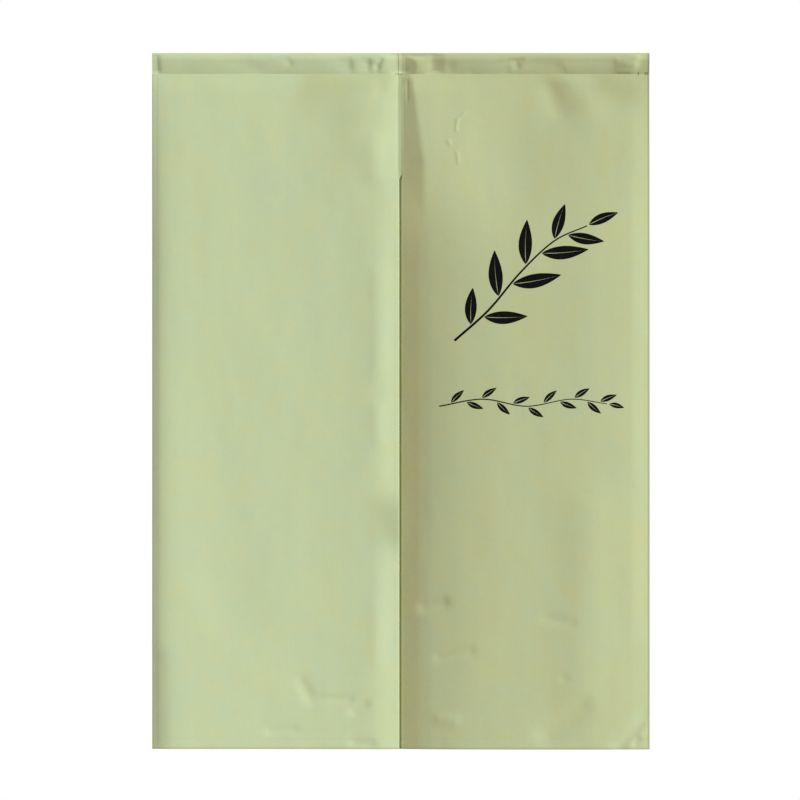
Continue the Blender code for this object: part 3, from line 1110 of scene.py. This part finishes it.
def weave_height(tree, place):
    """Plain weave: two sets of threads that pass over and under each other."""
    split = tree.nodes.new("ShaderNodeSeparateXYZ")
    tree.links.new(place, split.inputs[0])
    turns = math.pi / THREAD_PITCH
    warp = math_node(tree, "SINE", math_node(tree, "MULTIPLY", split.outputs["X"], turns))
    weft = math_node(tree, "SINE", math_node(tree, "MULTIPLY", split.outputs["Y"], turns))
    ridges = math_node(tree, "ADD", math_node(tree, "ABSOLUTE", warp),
                       math_node(tree, "ABSOLUTE", weft))
    crossing = math_node(tree, "MULTIPLY", math_node(tree, "MULTIPLY", warp, weft), CROSSING_SHARE)
    return math_node(tree, "ADD", ridges, crossing)


def bump(tree, height, distance, strength, before=None):
    """A bump of a height, on top of the bump before it."""
    node = tree.nodes.new("ShaderNodeBump")
    node.inputs["Strength"].default_value = strength
    node.inputs["Distance"].default_value = distance
    tree.links.new(height, node.inputs["Height"])
    if before is not None:
        tree.links.new(before, node.inputs["Normal"])
    return node.outputs["Normal"]


def mix_colours(tree, share, first, second, blend="MIX"):
    """Mix two colours, each given as a colour or as another node's output."""
    node = tree.nodes.new("ShaderNodeMix")
    node.data_type = "RGBA"
    node.blend_type = blend
    for name, value in (("Factor", share), ("A", first), ("B", second)):
        sockets = [socket for socket in node.inputs
                   if socket.name == name and socket.type == ("VALUE" if name == "Factor" else "RGBA")]
        if isinstance(value, (int, float)):
            sockets[0].default_value = value
        elif isinstance(value, tuple):
            sockets[0].default_value = (*value, 1.0)
        else:
            tree.links.new(value, sockets[0])
    return [socket for socket in node.outputs if socket.type == "RGBA"][0]


def tint(tree, share, colour, by):
    """Multiply a colour by another, as far as the share says."""
    return mix_colours(tree, share, colour, mix_colours(tree, 1.0, colour, by, "MULTIPLY"))


def spread(tree, value, low=0.0, high=1.0):
    """Turn cloudy noise into a value from low to high."""
    node = tree.nodes.new("ShaderNodeMapRange")
    node.inputs["From Min"].default_value = NOISE_RANGE[0]
    node.inputs["From Max"].default_value = NOISE_RANGE[1]
    node.inputs["To Min"].default_value = low
    node.inputs["To Max"].default_value = high
    tree.links.new(value, node.inputs["Value"])
    return node.outputs["Result"]


def two_tone(tree, shader, noise_value, colour, share):
    """Colour a shader with a colour and its second tone, mixed by noise."""
    second = tuple(share * part for part in colour)
    tree.links.new(mix_colours(tree, spread(tree, noise_value), colour, second),
                   shader.inputs["Base Color"])


def make_cloth_material():
    """Plain-woven cotton, pale sage green, with slubs, a cloudy mottle and painted shade."""
    material, tree, shader = new_material("woven_cloth", roughness=0.92, specular=0.15)
    shader.inputs["Sheen Weight"].default_value = 0.08
    shader.inputs["Sheen Roughness"].default_value = 0.5
    place = attribute(tree, "cloth place", "Vector")
    # The right half's darker, yellower colour is painted shade
    base_colour = mix_colours(tree, attribute(tree, "side", "Fac"), LEFT_DYE, RIGHT_DYE_AND_SHADE)
    clouds = noise_node(tree, place, stretch=(1.0, 0.7), scale=11.0, detail=2.0)
    patches = noise_node(tree, place, stretch=(1.0, 0.8), scale=36.0, detail=2.0)
    for mottle in (clouds, patches):
        base_colour = mix_colours(tree, spread(tree, mottle),
                          mix_colours(tree, 1.0, base_colour, YELLOWER, "MULTIPLY"),
                          mix_colours(tree, 1.0, base_colour, GREENER, "MULTIPLY"))
    weft_slubs = noise_node(tree, place, stretch=(0.06, 1.0), scale=900.0, detail=2.0)
    warp_slubs = noise_node(tree, place, stretch=(1.0, 0.05), scale=900.0, detail=2.0)
    slubs = math_node(tree, "ADD", math_node(tree, "MULTIPLY", weft_slubs, 0.5),
                      math_node(tree, "MULTIPLY", warp_slubs, 0.5))
    base_colour = tint(tree, spread(tree, slubs), base_colour, SLUB_SHARE)
    # Painted shade: the warm tint beside the slit, the fold patches, and the darker edges, lap and top
    for name, by in (("slit_shade_tint", SLIT_SHADE_SHARE), ("fold_shade", FOLD_SHADE_SHARE), ("toning", WORN_AND_SHADED_SHARE)):
        base_colour = tint(tree, attribute(tree, name, "Fac"), base_colour, by)
    tree.links.new(base_colour, shader.inputs["Base Color"])
    tree.links.new(spread(tree, slubs, *CLOTH_ROUGHNESS), shader.inputs["Roughness"])
    raised = bump(tree, weave_height(tree, place), WEAVE_HEIGHT, strength=0.6)
    raised = bump(tree, slubs, SLUB_HEIGHT, strength=0.6, before=raised)
    tree.links.new(raised, shader.inputs["Normal"])
    return material


def make_thread_material(name, thread_colour):
    """Twisted sewing thread, dyed to match the cloth."""
    material, tree, shader = new_material(name, roughness=0.8, specular=0.2)
    coordinates = tree.nodes.new("ShaderNodeTexCoord")
    twist = noise_node(tree, coordinates.outputs["Object"], scale=2600.0, detail=1.0)
    two_tone(tree, shader, twist, thread_colour, THREAD_SHARE)
    tree.links.new(bump(tree, twist, TWIST_HEIGHT, strength=0.5), shader.inputs["Normal"])
    return material


def make_print_material():
    """Flat black textile ink with the weave showing through."""
    material, tree, shader = new_material("textile_print", roughness=0.95, specular=0.02)
    coordinates = tree.nodes.new("ShaderNodeTexCoord")
    place = coordinates.outputs["Object"]
    toning = noise_node(tree, place, scale=260.0, detail=3.0)
    two_tone(tree, shader, toning, PRINT_COLOUR, PRINT_SHARE)
    turned = tree.nodes.new("ShaderNodeMapping")
    turned.inputs["Rotation"].default_value = (math.pi / 2, 0.0, 0.0)
    tree.links.new(place, turned.inputs["Vector"])
    raised = bump(tree, weave_height(tree, turned.outputs["Vector"]), WEAVE_HEIGHT, strength=0.4)
    tree.links.new(raised, shader.inputs["Normal"])
    return material


def make_floor_material():
    """A plain pale floor with a faint mottle."""
    material, tree, shader = new_material("pale_floor", roughness=0.85, specular=0.2)
    coordinates = tree.nodes.new("ShaderNodeTexCoord")
    clouds = noise_node(tree, coordinates.outputs["Object"], scale=3.0, detail=3.0)
    two_tone(tree, shader, clouds, FLOOR_COLOUR, FLOOR_SHARE)
    return material


# Stage

def make_floor(material):
    """A round pale floor, below what the camera sees."""
    shape = bmesh.new()
    bmesh.ops.create_circle(shape, cap_ends=True, segments=FLOOR_SEGMENTS, radius=FLOOR_RADIUS)
    bmesh.ops.translate(shape, verts=shape.verts[:], vec=(0.0, 0.0, FLOOR_Z))
    floor = finish_mesh("floor", shape, material)


def add_sun(name, came_from, strength, colour):
    """One broad soft light, far off."""
    sun = bpy.data.lights.new(name, "SUN")
    sun.energy = strength
    sun.angle = SUN_SIZE
    sun.color = colour
    lamp = bpy.data.objects.new(name, sun)
    lamp.rotation_mode = "QUATERNION"
    lamp.rotation_quaternion = Vector(came_from).to_track_quat("Z", "Y")
    bpy.context.scene.collection.objects.link(lamp)


def make_light():
    """A soft key from the upper right, a softer one behind, and a pale room."""
    add_sun("key", SUN_FROM, SUN_STRENGTH, SUN_COLOUR)
    add_sun("back_fill", FILL_FROM, FILL_STRENGTH, FILL_COLOUR)
    world = bpy.data.worlds.new("room")
    world.use_nodes = True
    bpy.context.scene.world = world
    tree = world.node_tree
    tree.nodes.clear()
    seen = tree.nodes.new("ShaderNodeBackground")
    seen.inputs["Color"].default_value = (1.0, 1.0, 1.0, 1.0)
    lighting = tree.nodes.new("ShaderNodeBackground")
    lighting.inputs["Color"].default_value = (*AMBIENT_COLOUR, 1.0)
    lighting.inputs["Strength"].default_value = AMBIENT_STRENGTH
    path = tree.nodes.new("ShaderNodeLightPath")
    either = tree.nodes.new("ShaderNodeMixShader")
    output = tree.nodes.new("ShaderNodeOutputWorld")
    tree.links.new(path.outputs["Is Camera Ray"], either.inputs["Fac"])
    tree.links.new(lighting.outputs["Background"], either.inputs[1])
    tree.links.new(seen.outputs["Background"], either.inputs[2])
    tree.links.new(either.outputs["Shader"], output.inputs["Surface"])


def make_camera():
    """Face on, as far off as the photograph's frame needs."""
    lens = bpy.data.cameras.new("camera")
    lens.lens = LENS
    lens.sensor_width = SENSOR
    camera = bpy.data.objects.new("camera", lens)
    camera.location = (CAMERA_X, -CAMERA_DISTANCE, CAMERA_Z)
    camera.rotation_euler = (math.pi / 2, 0.0, 0.0)
    bpy.context.scene.collection.objects.link(camera)
    bpy.context.scene.camera = camera


def main():
    """Make the curtain's pieces, then the floor, the light and the camera."""
    cloth = make_cloth_material()
    left_thread = make_thread_material("left_thread", LEFT_THREAD)
    right_thread = make_thread_material("right_thread", RIGHT_THREAD)
    left = make_panel(LEFT_PANEL, cloth)
    right = make_panel(RIGHT_PANEL, cloth)
    heading = make_heading(cloth)
    left_stitches = sew_panel(LEFT_PANEL, "left_stitches", left_thread)
    right_stitches = sew_panel(RIGHT_PANEL, "right_stitches", right_thread)
    heading_stitches = sew_heading(right_thread)
    tacks = sew_tacks(make_thread_material("tack_thread", TACK_THREAD))
    print_sprig = make_print(make_print_material())
    make_floor(make_floor_material())
    make_light()
    make_camera()
    bpy.context.scene.view_settings.view_transform = "Standard"


main()
